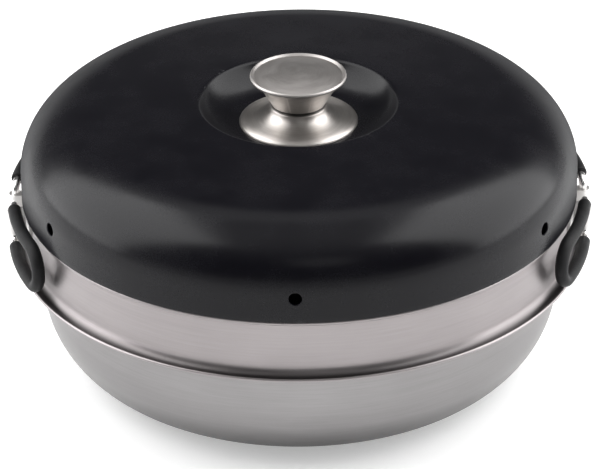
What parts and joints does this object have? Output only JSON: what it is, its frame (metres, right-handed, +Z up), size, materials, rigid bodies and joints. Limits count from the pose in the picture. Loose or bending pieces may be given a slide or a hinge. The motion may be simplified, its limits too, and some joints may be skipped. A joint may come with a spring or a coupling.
{
  "type": "folding camp oven",
  "caption": "Round steel camp oven with a flame hole, a ring-shaped baking mould, a domed black lid with vent holes and a steel knob, and folding wire handles with black sleeves.",
  "frame": {"origin": "centre of the flat face that the tray stands on", "axes": "+Z up along the oven's axis, +X towards the right-hand handles, -Y towards the viewer"},
  "size_m": [0.2952, 0.2856, 0.1596],
  "materials": {
    "tray_steel": "fine brushed stainless, satin",
    "mould_steel": "fine brushed stainless, satin, brighter on the band",
    "flue_steel": "satin stainless",
    "lid_coating": "satin black coating",
    "knob_steel": "brushed stainless with bright edges",
    "hidden_steel": "zinc grey",
    "bracket_steel": "stamped stainless",
    "wire_steel": "polished stainless wire",
    "grip_silicone": "matt black silicone"
  },
  "bodies": {
    "tray": {"tray_rim": "tray_steel", "tray_bowl": "tray_steel", "tray_floor": "tray_steel", "tray_collar": "tray_steel"},
    "mould": {"mould_band": "mould_steel", "mould_lip": "mould_steel", "mould_wall": "mould_steel", "mould_corner": "mould_steel", "mould_floor": "mould_steel", "flue_tube": "flue_steel", "flue_foot": "flue_steel", "left_bracket": "bracket_steel", "right_bracket": "bracket_steel"},
    "lid": {"lid_wall": "lid_coating", "lid_side": "lid_coating", "lid_shoulder": "lid_coating", "lid_crown": "lid_coating", "lid_dish_side": "lid_coating", "lid_dish_floor": "lid_coating", "knob_cap": "knob_steel", "knob_neck": "knob_steel", "knob_bell": "knob_steel", "knob_bush": "hidden_steel", "knob_washer": "hidden_steel", "knob_screw": "hidden_steel"},
    "left_front_loop": {"left_front_wire": "wire_steel", "left_front_grip": "grip_silicone"},
    "left_back_loop": {"left_back_wire": "wire_steel", "left_back_grip": "grip_silicone"},
    "right_front_loop": {"right_front_wire": "wire_steel", "right_front_grip": "grip_silicone"},
    "right_back_loop": {"right_back_wire": "wire_steel", "right_back_grip": "grip_silicone"}
  },
  "joints": [
    {"name": "mould_lift", "type": "slide", "parent": "tray", "child": "mould", "axis": [0, 0, 1], "range_m": [0, 0.08]},
    {"name": "lid_lift", "type": "slide", "parent": "mould", "child": "lid", "axis": [0, 0, 1], "range_m": [0, 0.06]},
    {"name": "left_front_swing", "type": "hinge", "parent": "mould", "child": "left_front_loop", "pos_m": [-0.14417, -0.0091, 0.081], "axis": [0, 0, -1], "range_deg": [0, 90]},
    {"name": "left_back_swing", "type": "hinge", "parent": "mould", "child": "left_back_loop", "pos_m": [-0.14417, 0.0091, 0.081], "axis": [0, 0, 1], "range_deg": [0, 90]},
    {"name": "right_front_swing", "type": "hinge", "parent": "mould", "child": "right_front_loop", "pos_m": [0.14417, -0.0091, 0.081], "axis": [0, 0, 1], "range_deg": [0, 90]},
    {"name": "right_back_swing", "type": "hinge", "parent": "mould", "child": "right_back_loop", "pos_m": [0.14417, 0.0091, 0.081], "axis": [0, 0, -1], "range_deg": [0, 90]}
  ]
}
